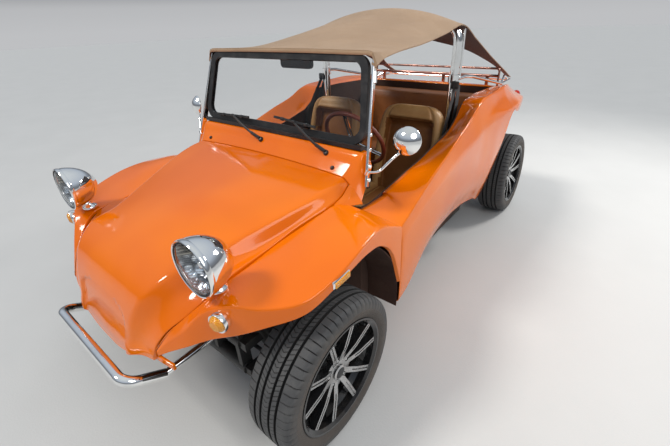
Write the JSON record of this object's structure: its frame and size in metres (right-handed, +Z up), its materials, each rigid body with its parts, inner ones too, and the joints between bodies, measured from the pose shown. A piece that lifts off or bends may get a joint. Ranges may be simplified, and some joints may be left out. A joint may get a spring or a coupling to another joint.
{
  "type": "dune buggy",
  "caption": "Open four-seat dune buggy with moulded orange body, tan canvas top, roll bar, chrome lamps and tube bumpers, rear engine, working steering and free wheels.",
  "frame": {"origin": "centre of the bounding box at ground level, halfway between the axles", "axes": "+Z up, the vehicle faces -Y, +X is the vehicle's left side"},
  "size_m": [1.617, 3.532, 1.546],
  "materials": {
    "frame_paint": "satin black, worn",
    "gearbox": "cast, dull",
    "engine_metal": "cast and sheet metal, dull",
    "exhaust_metal": "heat-dulled steel",
    "orange_gloss": "glossy orange gel coat on glass fibre",
    "dash": "black grained panel",
    "tub_lining": "dark brown lining",
    "rubber_seal": "black rubber",
    "clear_glass": "clear",
    "chrome_trim": "bright plating",
    "tan_canvas": "tan canvas, sewn",
    "tan_leather": "brown-tan upholstery",
    "brown_leather": "dark brown upholstery",
    "black_parts": "black",
    "hub_metal": "bare metal, dusty",
    "lamp_glass": "clear ribbed glass",
    "amber_lens": "amber",
    "red_lens": "red",
    "mirror_glass": "mirror in a dark shell",
    "belt_web": "black webbing",
    "tyre_rubber": "dusty rubber",
    "wheel_metal": "machined face, dark pockets"
  },
  "bodies": {
    "body": {"floor_pan": "frame_paint", "front_axle_beam": "frame_paint", "front_suspension": "frame_paint", "rear_suspension": "frame_paint", "transaxle": "gearbox", "engine": "engine_metal", "exhaust": "exhaust_metal", "cowl": "orange_gloss", "dashboard": "dash", "front_fender_left": "orange_gloss", "front_fender_right": "orange_gloss", "side_panel_left": "orange_gloss", "side_panel_right": "orange_gloss", "rear_fender_left": "orange_gloss", "rear_fender_right": "orange_gloss", "rear_deck": "orange_gloss", "cockpit_tub": "tub_lining", "windshield_frame": "rubber_seal", "windshield_glass": "clear_glass", "windshield_posts": "chrome_trim", "roll_bar": "chrome_trim", "soft_top": "tan_canvas", "soft_top_frame": "chrome_trim", "front_seat_left": "tan_leather", "front_seat_right": "tan_leather", "rear_seat": "brown_leather", "steering_column": "black_parts", "headlamps": "chrome_trim", "headlamp_lenses": "lamp_glass", "marker_lamps": "amber_lens", "tail_lamps": "red_lens", "front_bumper": "chrome_trim", "rear_bumper": "chrome_trim", "luggage_rack": "chrome_trim", "wipers": "black_parts", "door_mirrors": "chrome_trim", "interior_mirror": "mirror_glass", "seat_belts": "belt_web", "driver_controls": "black_parts", "hood": "orange_gloss"},
    "steering_wheel_body": {"steering_wheel": "black_parts"},
    "track_rod_body": {"track_rod": "frame_paint"},
    "knuckle_left_body": {"knuckle_left": "hub_metal"},
    "wheel_front_left_body": {"tyre_front_left": "tyre_rubber", "rim_front_left": "wheel_metal"},
    "wheel_rear_left_body": {"tyre_rear_left": "tyre_rubber", "rim_rear_left": "wheel_metal"},
    "knuckle_right_body": {"knuckle_right": "hub_metal"},
    "wheel_front_right_body": {"tyre_front_right": "tyre_rubber", "rim_front_right": "wheel_metal"},
    "wheel_rear_right_body": {"tyre_rear_right": "tyre_rubber", "rim_rear_right": "wheel_metal"}
  },
  "joints": [
    {"name": "steering_wheel_turn", "type": "hinge", "parent": "body", "child": "steering_wheel_body", "pos_m": [0.245, -0.35, 0.925], "axis": [0, 0.866, 0.5], "range_deg": [-450, 450]},
    {"name": "track_rod_slide", "type": "slide", "parent": "body", "child": "track_rod_body", "axis": [1, 0, 0], "range_m": [-0.06, 0.06]},
    {"name": "steer_left", "type": "hinge", "parent": "body", "child": "knuckle_left_body", "pos_m": [0.585, -1.2, 0.318], "axis": [0, 0, 1], "range_deg": [-30, 30]},
    {"name": "wheel_front_left_spin", "type": "hinge", "parent": "knuckle_left_body", "child": "wheel_front_left_body", "pos_m": [0.706, -1.2, 0.318], "axis": [1, 0, 0], "continuous": true},
    {"name": "steer_right", "type": "hinge", "parent": "body", "child": "knuckle_right_body", "pos_m": [-0.585, -1.2, 0.318], "axis": [0, 0, 1], "range_deg": [-30, 30]},
    {"name": "wheel_front_right_spin", "type": "hinge", "parent": "knuckle_right_body", "child": "wheel_front_right_body", "pos_m": [-0.706, -1.2, 0.318], "axis": [1, 0, 0], "continuous": true},
    {"name": "wheel_rear_left_spin", "type": "hinge", "parent": "body", "child": "wheel_rear_left_body", "pos_m": [0.681, 1.2, 0.3207], "axis": [0.9986, 0, 0.0523], "continuous": true},
    {"name": "wheel_rear_right_spin", "type": "hinge", "parent": "body", "child": "wheel_rear_right_body", "pos_m": [-0.681, 1.2, 0.3207], "axis": [0.9986, 0, -0.0523], "continuous": true}
  ],
  "couplings": [
    {"joint": "steer_left", "follows": "steering_wheel_turn", "ratio": 0.0666},
    {"joint": "steer_right", "follows": "steering_wheel_turn", "ratio": 0.0666},
    {"joint": "track_rod_slide", "follows": "steering_wheel_turn", "m_per_rad": 0.007}
  ]
}
